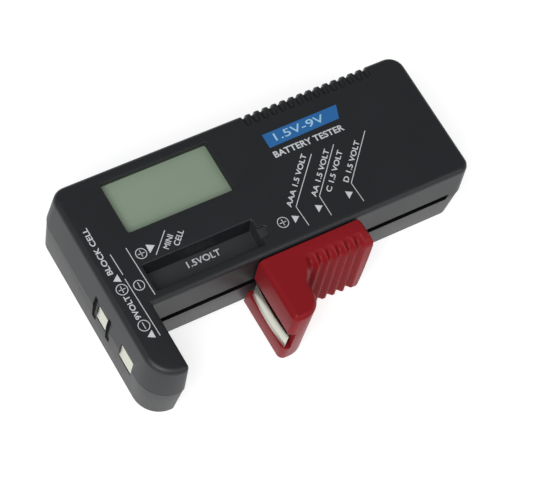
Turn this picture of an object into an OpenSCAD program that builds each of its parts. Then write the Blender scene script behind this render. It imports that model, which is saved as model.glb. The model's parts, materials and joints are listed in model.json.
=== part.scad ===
// Pocket battery tester: an L-shaped two-shell case with a display, a cell cradle,
// a pair of snap-battery contacts on its left end and a red arm that slides along its front.
// Frame: +X to the right end, -Y to the front where the arm slides, +Z up.
// The origin is the centre of the case's underside, without the foot that stands forward at the left.

/* [Case] */
// Length of the case along X
case_length = 108; // [106:1:112]
// Depth of the case along Y, without the foot
case_depth = 40.6; // [40:0.2:43]
// Height of the closed case
case_height = 24; // [24:0.2:26]
// Height of the joint between the two housings
parting_height = 12.5; // [12.3:0.1:12.7]
// Wall thickness of both housings
wall = 1.5; // [1.4:0.1:1.6]
// Corner radius of the case seen from above
corner_radius = 5; // [4:0.5:6]
// Radius of the rounded upper edge
edge_radius = 1.6; // [1.2:0.1:1.8]
// Slope of the upper housing's walls, in mm over their height
upper_draft = 0.65; // [0.4:0.05:0.8]
// Slope of the lower housing's walls, in mm over their height
lower_draft = 0.95; // [0.6:0.05:1.1]

/* [Foot] */
// Width of the foot along X
foot_width = 10.6; // [10.4:0.2:11]
// How far the foot stands in front of the case
foot_reach = 19.6; // [18:0.2:20]
// Radius of the foot's outer corner
foot_radius = 8.2; // [6:0.2:8.4]

/* [Display] */
// Length of the window
window_length = 31.6; // [30:0.1:32]
// Depth of the window along Y
window_depth = 15.6; // [14:0.1:15.8]
// How far the display lies below the top face
window_recess = 2.3; // [2.1:0.05:2.4]

/* [Cradle] */
// Length of the cell cradle
cradle_length = 32.1; // [30:0.1:32.4]
// Width of the cell cradle along Y
cradle_width = 7.8; // [7:0.1:8]
// Depth of the cradle at its rear wall
cradle_drop = 4.9; // [4:0.1:5]

/* [Grip ribs] */
// Number of ribs along the rear edge
rib_count = 14; // [10:1:14]
// Spacing of the ribs
rib_pitch = 2.69; // [2.5:0.01:2.72]

/* [Sliding arm] */
// Width of the arm's moulding along X
arm_width = 31.1; // [30:0.1:31.5]
// Distance from the case's left end to the arm's contact side, at rest
arm_rest = 40.8; // [36:0.1:44]
// How far the arm stands in front of the case
arm_reach = 18.6; // [18:0.1:19]
// How far the finger grip stands in front of the case
grip_reach = 8.4; // [7.8:0.1:8.6]
// Height of the arm's top face above the table
arm_top = 23.1; // [22.6:0.1:23.4]
// Number of grooves in the finger grip
groove_count = 6; // [4:1:6]

/* [Snap contacts] */
// Distance between the two nine-volt snap contacts
snap_spacing = 12.7; // [12.5:0.1:12.9]
// Y of the plus contact's centre
snap_plus_y = -13.4; // [-13.6:0.1:-13]

/* [Hidden] */

$fn = 48;
arc_steps = 6;      // chords in each rounded corner of the case
least_radius = 0.3; // smallest corner radius of an inner outline
past = 0.2;         // how far a cutting tool runs past a face
gap = 0.1;          // general clearance between pieces that don't move

x_left = -case_length / 2;
x_right = case_length / 2;
y_front = -case_depth / 2;
y_rear = case_depth / 2;
x_foot = x_left + foot_width;
y_toe = y_front - foot_reach;
toe_inner_radius = 2.2;
front_corner_radius = 4;

// Upper housing
draft_top = case_height - edge_radius;
ceiling = case_height - 2;
parting_step = 0.12; // the lower housing is this much smaller at the joint
lip_height = 1.2;
lip_inset = 0.8;

// Display stack, from the top down
polariser_top = case_height - window_recess;
polariser_thick = 0.2;
glass_thick = 1;
reflector_thick = 0.25;
window_x = -40.3;
window_y = 0.65;
glass_x0 = window_x - 2.9;
glass_x1 = window_x + window_length + 2.1;
glass_y0 = window_y - 6.6;
glass_y1 = window_y + window_depth + 0.3;
ledge_depth = 4.5;
front_glass_bottom = polariser_top - polariser_thick - glass_thick;
rear_glass_bottom = front_glass_bottom - glass_thick;
reflector_bottom = rear_glass_bottom - reflector_thick;

// Circuit board
board_bottom = 14.3;
board_thick = 1.6;
board_top = board_bottom + board_thick;
board_x0 = -45.5;
board_x1 = 10;
board_y0 = -12.5;
board_y1 = 17.6;
board_screw_at = [[6.5, 14.5], [6.5, -5.5]];
peg_at = [[glass_x0 - 0.85, 5], [glass_x1 + 0.85, 5]];
peg_radius = 0.5;

// Cell cradle in the top face
cradle_x0 = -41.5;
cradle_x1 = cradle_x0 + cradle_length;
cradle_y1 = -8.95;
cradle_y0 = cradle_y1 - cradle_width;
cradle_floor = case_height - cradle_drop;
cradle_fall = 0.7;
cradle_lean = 0.8;  // how far the rear wall leans forward
cradle_block_bottom = 17.2;

// Grip ribs on the rear edge
rib_x0 = 5.87;

// Screw towers
tower_at = [[-48.2, 14.2], [48.2, 14.2], [48.2, -10.5], [-48.2, -31.5]];
tower_joint = 8;
tower_radius = 2.4;
pilot_radius = 1.15;
screw_radius = 1.1;
head_seat = 4.5;

// Slot along the front, at the joint between the housings
slot_z0 = 11.1;
slot_z1 = 14;
slot_x0 = x_foot + 0.4;
slot_x1 = 48.2;

// Snap contacts in the left end, plain contact in the foot
snap_minus_y = snap_plus_y - snap_spacing;
snap_height = 6.6;
snap_z = parting_height;
plus_width = 4.7;
minus_width = 6.2;
sheet = 0.4;
flange_gap = 0.55; // from the nominal wall to a contact's flange, which clears the wall's slope
scoop_radius = 1.1;
scoop_z0 = 6.7;
scoop_z1 = 17.1;
foot_plate_y0 = -35;
foot_plate_y1 = -24;
foot_plate_z0 = 8;
foot_plate_z1 = 17;
mini_y0 = -14.4;
mini_y1 = -11.2;
strip_thick = 0.3;

// Contact rail inside the front wall
rail_y = -14.3;
rail_x0 = -34;
rail_x1 = 41;
rail_z0 = 9.5;
rail_z1 = 13.2;
rail_tab_x = -32;
rail_post_x = [-28, 4, 36];

// Sliding arm
arm_x0 = x_left + arm_rest;
arm_x1 = arm_x0 + arm_width;
arm_bottom = 0.5;
arm_gap = 0.3;        // running gap between the arm and the front wall
arm_y0 = y_front - arm_reach;
grip_y0 = y_front - grip_reach;
neck_x = arm_x0 + 9;  // right side of the arm's finger
grip_x0 = arm_x0 + 13;
grip_bend_y = grip_y0 + 1.5;
grip_bend_z = arm_top - 1.4;
grip_start_y = grip_y0 + 4.3;
pocket_x1 = arm_x0 + 4.95;
pocket_y0 = arm_y0 + 1.5;
pocket_z0 = 6.3;
pocket_z1 = 14.3;
tongue_x0 = pocket_x1 + 0.05;
tongue_x1 = tongue_x0 + 21.6;
tongue_z0 = slot_z0 + 0.15;
tongue_z1 = slot_z1 - 0.15;
flange_y0 = y_front + wall + 0.5;
flange_y1 = flange_y0 + 1.2;
flange_z0 = 8.8;
flange_z1 = 16.2;
arm_groove_pitch = 2.87;
arm_groove_x0 = arm_x0 + 13;
arm_groove_radius = 0.95;
rivet_x = [tongue_x0 + 1.3, tongue_x0 + 3.3];
rivet_z = 11.2;

// ---------------------------------------------------------------- outlines

// A quarter-turn arc at the sharp corner p, starting at angle a0
function corner_arc(p, r, a0, turn = 90) =
    let (m = a0 + sign(turn) * 45, c = p - r * [sign(cos(m)), sign(sin(m))])
    [for (i = [0:arc_steps]) let (a = a0 + turn * i / arc_steps) c + r * [cos(a), sin(a)]];

// The L-shaped outline of the case, moved inwards by inset
function case_outline(inset) =
    let (
        r = function(radius) max(radius - inset, least_radius),
        r_inner = r(toe_inner_radius),
        r_outer = min(r(foot_radius), foot_width - 2 * inset - r_inner - 0.05)
    )
    concat(
        [[x_foot - inset, y_front + inset]],
        corner_arc([x_right - inset, y_front + inset], r(front_corner_radius), 270),
        corner_arc([x_right - inset, y_rear - inset], r(corner_radius), 0),
        corner_arc([x_left + inset, y_rear - inset], r(corner_radius), 90),
        corner_arc([x_left + inset, y_toe + inset], r_outer, 180),
        corner_arc([x_foot - inset, y_toe + inset], r_inner, 270)
    );

// A wall that runs round the case outline. Its section is a closed list of [height, inset] points.
module case_band(section) {
    rings = [for (s = section) [for (p = case_outline(s[1])) [p[0], p[1], s[0]]]];
    n = len(rings[0]);
    m = len(rings);
    polyhedron(
        points = [for (ring = rings) each ring],
        faces = [for (k = [0:m - 1], i = [0:n - 1])
            let (up = (k + 1) % m, on = (i + 1) % n) [k * n + i, up * n + i, up * n + on, k * n + on]]
    );
}

// A flat plate inside the case outline
module case_plate(inset, z0, z1) {
    translate([0, 0, z0]) linear_extrude(z1 - z0) polygon(case_outline(inset));
}

// A box between two opposite corners
module box(low, high) {
    translate(low) cube(high - low);
}

// A straight bar between two points
module bar(from, to, r) {
    v = to - from;
    length = norm(v);
    translate(from) rotate([0, acos(v[2] / length), atan2(v[1], v[0])]) cylinder(r = r, h = length);
}

// A round wire through a list of points, with ball corners
module wire(points, r) {
    for (i = [0:len(points) - 2]) bar(points[i], points[i + 1], r);
    for (i = [1:len(points) - 2]) translate(points[i]) sphere(r = r * 1.05, $fn = 24);
}

// A profile in the YZ plane, run along X
module along_x(x0, x1, profile) {
    translate([x0, 0, 0]) rotate([90, 0, 90]) linear_extrude(x1 - x0) polygon(profile);
}

// ---------------------------------------------------------------- case housings

// The upper shell: a roof plate and a wall with a rounded upper edge, and a rebate at its foot
// that takes the lower shell's lip
module upper_shell() {
    rebate = lip_inset - 0.08;
    roof_inset = upper_draft + edge_radius;
    inner = wall + upper_draft;
    edge = [for (a = [0:22.5:67.5])
        [draft_top + edge_radius * sin(a), upper_draft + edge_radius * (1 - cos(a))]];
    case_plate(roof_inset, ceiling, case_height);
    case_band(concat([[parting_height, 0]], edge, [
        [case_height - 0.02, roof_inset + 0.3],
        [ceiling - 0.3, roof_inset + 0.3],
        [ceiling - 0.3, inner],
        [parting_height + lip_height + 0.1, wall],
        [parting_height + lip_height + 0.1, rebate],
        [parting_height, rebate]
    ]));
}

// The lower shell: a floor plate, whose edge is set back, and a wall with a lip on top
module lower_shell() {
    case_plate(lower_draft + 0.35, 0, wall);
    case_band([
        [0.6, lower_draft],
        [parting_height, parting_step],
        [parting_height, lip_inset],
        [parting_height + lip_height, lip_inset],
        [parting_height + lip_height, wall],
        [0.6, wall + lower_draft]
    ]);
}

// One groove between two grip ribs: down the rear wall, over the edge and onto the top face
module rib_groove(x) {
    deep = 0.65;
    half = 0.5;
    y = y_rear - upper_draft;
    z = case_height;
    along_x(x - half, x + half, [
        [y_rear - deep, parting_height - past],
        [y - deep, z - 2.4],
        [y - deep - 0.5, z - 1.2],
        [y - 1.2, z - deep - 0.5],
        [y - 2, z - deep],
        [y - 2.9, z - deep],
        [y - 3.4, z + past],
        [y_rear + 1, z + past],
        [y_rear + 1, parting_height - past]
    ]);
}

// The opening for a snap contact, which both housings share
module snap_window(y, width) {
    box([x_left - past, y - width / 2, snap_z - snap_height / 2],
        [x_left + wall + flange_gap, y + width / 2, snap_z + snap_height / 2]);
}

// The two upright scoops beside the plus contact
module snap_scoops() {
    for (side = [-1, 1])
        translate([x_left - 0.15, snap_plus_y + side * 3.5, scoop_z0])
            cylinder(r = scoop_radius, h = scoop_z1 - scoop_z0, $fn = 32);
}

module contact_openings() {
    snap_window(snap_plus_y, plus_width);
    snap_window(snap_minus_y, minus_width);
    snap_scoops();
    box([x_foot - wall - flange_gap, foot_plate_y0, foot_plate_z0],
        [x_foot + past, foot_plate_y1, foot_plate_z1]);
}

module front_slot() {
    box([slot_x0, y_front - past, slot_z0], [slot_x1, y_front + wall + 0.4, slot_z1]);
}

module cradle_hollow() {
    along_x(cradle_x0, cradle_x1, [
        [cradle_y0, case_height + past],
        [cradle_y0, cradle_floor - cradle_fall],
        [cradle_y1 - cradle_lean, cradle_floor],
        [cradle_y1, case_height - 0.5],
        [cradle_y1, case_height + past]
    ]);
    notch = [cradle_x1 + 2.5, cradle_y1 - 5.95];
    box([cradle_x1 - past, notch[1], case_height - 0.8], [notch[0] - 1.2, notch[1] + 3.2, case_height + past]);
    translate([notch[0] - 1.2, notch[1] + 1.6, case_height - 0.8]) cylinder(r = 1.6, h = 0.8 + past);
}

module cradle_slit() {
    box([cradle_x0 - 0.05, mini_y0 - 0.05, cradle_block_bottom - past],
        [cradle_x0 + strip_thick + 0.05, mini_y1 + 0.05, cradle_floor + 0.1]);
}

module top_housing() {
    color([0.16, 0.165, 0.18])
    difference() {
        union() {
            upper_shell();
            box([cradle_x0 - 1.4, y_front + wall - 0.5, cradle_block_bottom],
                [cradle_x1 + 1.4, cradle_y1 + 1.4, ceiling + 0.4]);
            for (p = tower_at)
                translate([p[0], p[1], tower_joint]) cylinder(r = tower_radius, h = ceiling + 0.3 - tower_joint);
            for (p = board_screw_at)
                translate([p[0], p[1], board_top]) cylinder(r = 2.2, h = ceiling + 0.3 - board_top);
        }
        for (p = tower_at)
            translate([p[0], p[1], tower_joint - past]) cylinder(r = pilot_radius, h = 8);
        for (p = board_screw_at)
            translate([p[0], p[1], board_top - past]) cylinder(r = 0.9, h = 4.2);
        box([window_x, window_y, ceiling - past],
            [window_x + window_length, window_y + window_depth, case_height + past]);
        cradle_hollow();
        cradle_slit();
        for (i = [0:rib_count]) rib_groove(rib_x0 + (i - 0.5) * rib_pitch);
        contact_openings();
        front_slot();
    }
}

// A post that holds the contact rail in a slit
module rail_post(x) {
    box([x - 1.5, rail_y + strip_thick + 0.02, wall - 0.5], [x + 1.5, rail_y + 1.6, rail_z1 - 0.4]);
    box([x - 1.5, rail_y - 0.6, wall - 0.5], [x + 1.5, rail_y - 0.02, rail_z0 + 0.3]);
    box([x - 1.5, rail_y - 0.1, wall - 0.5], [x + 1.5, rail_y + 1, rail_z0]);
}

module bottom_housing() {
    color([0.16, 0.165, 0.18])
    difference() {
        union() {
            lower_shell();
            for (p = tower_at)
                translate([p[0], p[1], wall - 0.5]) cylinder(r = 3.1, h = tower_joint - wall + 0.5);
            for (x = rail_post_x) rail_post(x);
            for (y = [-4, 14]) translate([-42.5, y, wall - 0.5]) cylinder(r = 1.6, h = board_bottom - wall + 0.5);
        }
        for (p = tower_at) translate([p[0], p[1], -past]) {
            cylinder(r = 1.35, h = tower_joint + 2 * past);
            cylinder(r = 2.6, h = head_seat + past);
        }
        contact_openings();
        front_slot();
    }
}

// A pan-headed tapping screw that points up, its head's underside at the origin
module screw(r, length, head_r, head_h) {
    difference() {
        union() {
            translate([0, 0, -head_h]) cylinder(r = head_r, h = head_h);
            cylinder(r = r, h = length);
        }
        for (a = [0, 90]) rotate([0, 0, a]) translate([0, 0, -head_h])
            cube([head_r * 1.2, head_r * 0.26, head_h], center = true);
    }
}

module case_screws() {
    color([0.62, 0.62, 0.64])
    for (p = tower_at) translate([p[0], p[1], head_seat]) screw(screw_radius, 10.5, 2.3, 1.6);
}

// ---------------------------------------------------------------- display

module display_polariser() {
    color([0.53, 0.6, 0.51])
    box([glass_x0 + 1, window_y - 1, polariser_top - polariser_thick],
        [glass_x1 - 0.7, glass_y1, polariser_top]);
}

module display_front_glass() {
    color([0.75, 0.8, 0.76, 0.6])
    box([glass_x0, glass_y0, front_glass_bottom], [glass_x1, glass_y1, front_glass_bottom + glass_thick]);
}

module display_rear_glass() {
    color([0.7, 0.76, 0.72, 0.6])
    box([glass_x0, glass_y0 + ledge_depth, rear_glass_bottom], [glass_x1, glass_y1, front_glass_bottom]);
}

module display_reflector() {
    color([0.72, 0.74, 0.7])
    box([glass_x0 + 1, glass_y0 + ledge_depth + 0.5, reflector_bottom],
        [glass_x1 - 1, glass_y1 - 0.3, rear_glass_bottom]);
}

// The frame carries the glass on a shelf and stands on the board with two pegs
module display_frame() {
    outer_low = [glass_x0 - 1.5, glass_y0 - 1.4];
    outer_high = [glass_x1 + 1.5, glass_y1 + 0.9];
    shelf = 1.6;
    color([0.3, 0.3, 0.32])
    difference() {
        union() {
            box([outer_low[0], outer_low[1], board_top], [outer_high[0], outer_high[1], polariser_top - 0.3]);
            for (p = peg_at) translate([p[0], p[1], board_bottom]) cylinder(r = peg_radius, h = board_thick + 1);
        }
        box([glass_x0 - gap, glass_y0 - gap, reflector_bottom], [glass_x1 + gap, glass_y1 + gap, case_height]);
        box([glass_x0 + shelf, glass_y0 + ledge_depth + shelf, board_top - past],
            [glass_x1 - shelf, glass_y1 - shelf, case_height]);
        box([glass_x0 + gap, glass_y0 + gap, board_top - past],
            [glass_x1 - gap, glass_y0 + ledge_depth - 0.9, case_height]);
    }
}

module elastomer_connector() {
    color([0.8, 0.55, 0.6])
    box([glass_x0 + 1.5, glass_y0 + 0.9, board_top], [glass_x1 - 1.5, glass_y0 + 2.9, front_glass_bottom]);
}

// ---------------------------------------------------------------- circuit board and parts on it

module circuit_board() {
    color([0.12, 0.38, 0.2])
    difference() {
        box([board_x0, board_y0, board_bottom], [board_x1, board_y1, board_top]);
        for (p = board_screw_at) translate([p[0], p[1], board_bottom - past])
            cylinder(r = 1.1, h = board_thick + 2 * past);
        for (p = peg_at) translate([p[0], p[1], board_bottom - past])
            cylinder(r = peg_radius + 0.05, h = board_thick + 2 * past);
    }
}

module board_screws() {
    color([0.62, 0.62, 0.64])
    for (p = board_screw_at) translate([p[0], p[1], board_bottom]) screw(0.85, 5.2, 1.8, 1.2);
}

module processor_dome() {
    cap_r = 5.5;
    cap_h = 1.5;
    color([0.06, 0.06, 0.07])
    translate([-24, 4, board_bottom]) rotate_extrude()
        polygon([[0, 0], [0, -cap_h], for (a = [75:-15:0]) [cap_r * cos(a), -cap_h * sin(a)]]);
}

inductor_at = [-3, 9];
inductor_height = 5.6;

module inductor_core() {
    color([0.2, 0.2, 0.21])
    translate([inductor_at[0], inductor_at[1], board_bottom - inductor_height]) {
        cylinder(r = 4, h = 1);
        cylinder(r = 1.8, h = inductor_height);
        translate([0, 0, inductor_height - 1]) cylinder(r = 4, h = 1);
    }
}

module inductor_winding() {
    color([0.72, 0.4, 0.2])
    translate([inductor_at[0], inductor_at[1], board_bottom - inductor_height + 1])
    difference() {
        cylinder(r = 3.6, h = inductor_height - 2);
        translate([0, 0, -past]) cylinder(r = 1.8, h = inductor_height);
    }
}

capacitor_at = [-4, -5];

module capacitor_can() {
    color([0.8, 0.8, 0.82])
    translate([capacitor_at[0], capacitor_at[1], board_bottom - 6]) {
        cylinder(r = 3, h = 4.8);
        translate([0, 0, 1.2]) cylinder(r = 3.15, h = 3.2);
    }
}

module capacitor_base() {
    color([0.1, 0.1, 0.1])
    translate([capacitor_at[0], capacitor_at[1], board_bottom - 0.6]) cube([6.6, 6.6, 1.2], center = true);
}

regulator_at = [-15, -7];

module boost_regulator() {
    color([0.08, 0.08, 0.09])
    translate([regulator_at[0], regulator_at[1], board_bottom - 0.9]) cube([4.5, 2.5, 1.5], center = true);
}

module regulator_legs() {
    color([0.75, 0.75, 0.75])
    for (dx = [-1.5, 0, 1.5])
        box([regulator_at[0] + dx - 0.25, regulator_at[1] - 2.3, board_bottom - 0.15],
            [regulator_at[0] + dx + 0.25, regulator_at[1] + 0.9, board_bottom]);
}

module diode() {
    color([0.1, 0.1, 0.1])
    translate([-15, 12.5, board_bottom - 0.8]) cube([4.2, 2.5, 1.6], center = true);
}

module resistors() {
    color([0.15, 0.15, 0.17])
    for (i = [0:3], j = [0, 1])
        translate([-38 + 3 * i, -4.5 + 3 * j, board_bottom - 0.25]) cube([1.6, 0.8, 0.5], center = true);
}

module ceramic_capacitors() {
    color([0.7, 0.58, 0.42])
    for (i = [0:3])
        translate([-36 + 4 * i, 13, board_bottom - 0.45]) cube([2, 1.25, 0.9], center = true);
}

// ---------------------------------------------------------------- fixed contacts

// A sheet contact whose face fills a window in the left end, with inner flanges above and below
module snap_plate(y, width) {
    face_x = x_left + 0.3;
    flange_x = x_left + wall + flange_gap;
    half = snap_height / 2 - gap;
    half_w = width / 2 - gap;
    color([0.8, 0.82, 0.76])
    for (side = [-1, 1]) {
        box([face_x, y - half_w, snap_z - half], [face_x + sheet, y + half_w, snap_z + half]);
        low = side > 0 ? snap_z + half - sheet : snap_z - half;
        box([face_x, y - half_w, low], [flange_x + sheet, y + half_w, low + sheet]);
        edge = side > 0 ? snap_z + half + 1.5 : snap_z - half - 1.5;
        box([flange_x, y - half_w, min(edge, low)], [flange_x + sheet, y + half_w, max(edge, low + sheet)]);
    }
}

module snap_tail(y, width) {
    inner = x_left + wall + flange_gap + sheet;
    low = snap_z + snap_height / 2 - gap - sheet;
    color([0.8, 0.82, 0.76]) box([inner - 0.01, y - 1, low], [inner + 2, y + 1, low + sheet]);
}

module nine_volt_plus_plate() {
    snap_plate(snap_plus_y, plus_width);
    snap_tail(snap_plus_y, plus_width);
}

module nine_volt_minus_plate() {
    snap_plate(snap_minus_y, minus_width);
    snap_tail(snap_minus_y, minus_width);
}

// The flat contact in the foot's inner side, which a cell's flat end rests on. Two folded tabs at
// its rear end hold it behind the wall, clear of the screw tower.
module cell_minus_plate() {
    face_x = x_foot + 0.2;
    flange_x = x_foot - wall - flange_gap;
    tab_y0 = foot_plate_y1 - 4;
    tab_y1 = foot_plate_y1 - gap;
    color([0.8, 0.82, 0.76]) {
        box([face_x - sheet, foot_plate_y0 + gap, foot_plate_z0 + gap],
            [face_x, foot_plate_y1 - gap, foot_plate_z1 - gap]);
        for (z = [foot_plate_z0 + gap, foot_plate_z1 - gap - sheet])
            box([flange_x - sheet, tab_y0, z], [face_x, tab_y1, z + sheet]);
        box([flange_x - sheet, tab_y0, foot_plate_z0 - 1], [flange_x, tab_y1, foot_plate_z0 + gap + sheet]);
        box([flange_x - sheet, tab_y0, foot_plate_z1 - gap - sheet], [flange_x, tab_y1, foot_plate_z1 + 1]);
    }
}

// The cradle's contact stands on its left wall and bends onto the board below
module mini_cell_plate() {
    color([0.8, 0.82, 0.76]) {
        box([cradle_x0, mini_y0, board_top], [cradle_x0 + strip_thick, mini_y1, case_height - 1.2]);
        box([cradle_x0, board_y0 + 0.1, board_top], [cradle_x0 + 3, mini_y1, board_top + strip_thick]);
    }
}

// The rail carries the arm's contact along the front and bends onto the board at its left
module contact_rail() {
    color([0.78, 0.74, 0.6]) {
        box([rail_x0, rail_y, rail_z0], [rail_x1, rail_y + strip_thick, rail_z1]);
        box([rail_tab_x, rail_y, rail_z1 - 1], [rail_tab_x + 3, rail_y + strip_thick, board_top + strip_thick]);
        box([rail_tab_x, rail_y, board_top], [rail_tab_x + 3, board_y0 + 1.5, board_top + strip_thick]);
    }
}

wire_radius = 0.5;
joint_height = 0.6;
joint_at = [[-43.5, -10.6], [-41.2, -10.6], [-38.9, -10.6]];

function joint_point(i) = [joint_at[i][0], joint_at[i][1], board_bottom - joint_height];

module solder_joints() {
    color([0.75, 0.76, 0.78])
    for (p = joint_at)
        translate([p[0], p[1], board_bottom - joint_height]) cylinder(r1 = 0.55, r2 = 0.95, h = joint_height);
}

// Where a wire leaves a snap contact's tail
function tail_point(y) =
    [x_left + wall + flange_gap + sheet + 1.4, y, snap_z + snap_height / 2 - gap - sheet];

module nine_volt_plus_wire() {
    start = tail_point(snap_plus_y);
    end = joint_point(0);
    color([0.75, 0.1, 0.1])
    wire([start, start - [0, 0, 4], [end[0], end[1], start[2] - 4], end], wire_radius);
}

module nine_volt_minus_wire() {
    start = tail_point(snap_minus_y);
    end = joint_point(1);
    z = start[2] - 6;
    color([0.1, 0.1, 0.1])
    wire([start, [start[0], start[1], z], [start[0], end[1], z], [end[0], end[1], z], end], wire_radius);
}

module cell_minus_wire() {
    start = [x_foot - wall - flange_gap - sheet - wire_radius, foot_plate_y1 - 0.8, foot_plate_z0 - 0.9];
    end = joint_point(2);
    color([0.85, 0.85, 0.85])
    wire([start, start - [0, 0, 2], [start[0], -12.5, start[2] - 2], [end[0], end[1], start[2] - 2], end], wire_radius);
}

// ---------------------------------------------------------------- sliding arm

// The arm from above: a wide root, a finger forward at the left and a shorter grip at the right
function arm_plan() =
    let (finger_r = 6, tip_r = 1.8, fillet = 3.2, right_r = 1.4, rear = y_front + 0.75)
    concat(
        [[arm_x0, rear]],
        corner_arc([arm_x0, arm_y0], tip_r, 180),
        corner_arc([neck_x, arm_y0], finger_r, 270),
        corner_arc([neck_x, grip_y0 + 0.6], fillet, 180, -90),
        corner_arc([arm_x1, grip_y0], right_r, 270),
        corner_arc([arm_x1, rear], 1.9, 0)
    );

// What the case's front wall leaves free behind the arm
module behind_arm() {
    y = y_front - arm_gap;
    along_x(arm_x0 - 1, arm_x1 + 1, [
        [y + lower_draft, -1],
        [y, parting_height],
        [y + upper_draft, arm_top + 1],
        [y_front + 10, arm_top + 1],
        [y_front + 10, -1]
    ]);
}

// Everything in front of the grip's sloping face
module before_grip() {
    along_x(neck_x + 0.6, arm_x1 + 1, [
        [grip_start_y, arm_top + 1],
        [grip_start_y, arm_top],
        [grip_bend_y, grip_bend_z],
        [grip_y0 + 0.05, arm_bottom - 1],
        [grip_y0 - 6, arm_bottom - 1],
        [grip_y0 - 6, arm_top + 1]
    ]);
}

module grip_groove(x) {
    top = [x, grip_start_y + 0.3, arm_top + 0.3];
    bend = [x, grip_bend_y, grip_bend_z + 0.2];
    foot = [x, grip_y0 - 0.1, arm_bottom - 1];
    bar(top, bend, arm_groove_radius, $fn = 24);
    bar(bend, foot, arm_groove_radius, $fn = 24);
    translate(bend) sphere(r = arm_groove_radius, $fn = 24);
}

module slider_arm() {
    color([0.62, 0.07, 0.1])
    difference() {
        union() {
            difference() {
                translate([0, 0, arm_bottom]) linear_extrude(arm_top - arm_bottom) polygon(arm_plan());
                behind_arm();
                before_grip();
                for (i = [0:groove_count - 1]) grip_groove(arm_groove_x0 + i * arm_groove_pitch);
                box([grip_x0 - 2, grip_y0 + 2.6, arm_bottom + 1.6], [arm_x1 - 1.6, y_front + 3, grip_bend_z - 1.8]);
            }
            box([tongue_x0, grip_y0 + 2, tongue_z0], [tongue_x1, flange_y1, tongue_z1]);
            box([tongue_x0, flange_y0, flange_z0], [tongue_x1, flange_y1, flange_z1]);
        }
        box([arm_x0 - past, pocket_y0, pocket_z0], [pocket_x1, y_front + 3, pocket_z1]);
        box([arm_x0 - past, arm_y0 - past, pocket_z0], [arm_x0 + 2, pocket_y0 + past, pocket_z1]);
        for (x = rivet_x) translate([x, flange_y1 + past, rivet_z]) rotate([90, 0, 0])
            cylinder(r = 0.65, h = 1.1 + past);
    }
}

// The strip that joins the leaf to the wiper, past the end of the tongue
module contact_strip() {
    x0 = tongue_x0 - 0.05 - strip_thick;
    color([0.8, 0.82, 0.76])
    difference() {
        union() {
            box([x0, pocket_y0 + 6, pocket_z0 + 1.5], [x0 + strip_thick, y_front - 0.6, tongue_z1 - 0.1]);
            box([x0, pocket_y0 + 6, tongue_z0 + 0.1], [x0 + strip_thick, flange_y1 + strip_thick, tongue_z1 - 0.1]);
            box([x0, flange_y1, rivet_z - 1.6], [x0 + 4.7, flange_y1 + strip_thick, tongue_z1 - 0.1]);
        }
        for (x = rivet_x) translate([x, flange_y1 + 1, rivet_z]) rotate([90, 0, 0]) cylinder(r = 0.65, h = 2);
    }
}

// The bowed spring that rides on the rail
module wiper() {
    foot_y = flange_y1 + strip_thick;
    x0 = tongue_x0 + 0.1;
    x1 = tongue_x0 + 4.9;
    span = 14;
    rise = rail_y - 0.02 - foot_y;
    bow_r = (span * span / 4 + rise * rise) / (2 * rise);
    half = asin(span / 2 / bow_r);
    thick = 0.25;
    color([0.82, 0.72, 0.45])
    difference() {
        union() {
            box([x0, foot_y, rivet_z - 1.2], [x1, foot_y + thick, rivet_z + 1.2]);
            translate([x1 + span / 2 - 0.2, rail_y - 0.02 - bow_r, rivet_z - 1.2]) rotate([0, 0, 90 - half])
                rotate_extrude(angle = 2 * half, $fn = 96) translate([bow_r - thick, 0]) square([thick, 2.4]);
        }
        for (x = rivet_x) translate([x, foot_y + 1, rivet_z]) rotate([90, 0, 0]) cylinder(r = 0.65, h = 2);
    }
}

module wiper_rivets() {
    face = flange_y1 + strip_thick + 0.25;
    color([0.8, 0.68, 0.4])
    for (x = rivet_x) translate([x, face, rivet_z]) rotate([90, 0, 0]) {
        cylinder(r = 0.6, h = face - flange_y1 + 1);
        translate([0, 0, -0.45]) cylinder(r = 0.95, h = 0.45);
    }
}

// The bowed leaf that touches the cell's nub, with two legs. Its front end stands free at the tip.
module leaf_contact() {
    leaf_y0 = arm_y0 + 0.6;
    leaf_y1 = y_front - 0.9;
    thick = 0.35;
    span = leaf_y1 - leaf_y0;
    rise = 0.4;
    bow_r = (span * span / 4 + rise * rise) / (2 * rise);
    half = asin(span / 2 / bow_r);
    apex_x = arm_x0 + 0.12;
    z0 = pocket_z0 + 0.2;
    height = 6;
    color([0.85, 0.86, 0.78]) {
        translate([apex_x + bow_r, (leaf_y0 + leaf_y1) / 2, z0]) rotate([0, 0, 180 - half])
            rotate_extrude(angle = 2 * half, $fn = 180) translate([bow_r - thick, 0]) square([thick, height]);
        for (y = [pocket_y0 + 0.3, leaf_y1 - thick])
            box([apex_x + rise, y, z0], [apex_x + rise + 1.6, y + thick, z0 + height]);
    }
}

top_housing();
bottom_housing();
case_screws();
display_polariser();
display_front_glass();
display_rear_glass();
display_reflector();
display_frame();
elastomer_connector();
circuit_board();
board_screws();
processor_dome();
inductor_core();
inductor_winding();
capacitor_can();
capacitor_base();
boost_regulator();
regulator_legs();
diode();
resistors();
ceramic_capacitors();
nine_volt_plus_plate();
nine_volt_minus_plate();
cell_minus_plate();
mini_cell_plate();
contact_rail();
nine_volt_plus_wire();
nine_volt_minus_wire();
cell_minus_wire();
solder_joints();
slider_arm();
contact_strip();
wiper();
wiper_rivets();
leaf_contact();
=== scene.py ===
import json
import math

import bmesh
import bpy
from mathutils import Matrix, Quaternion, Vector


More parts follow.
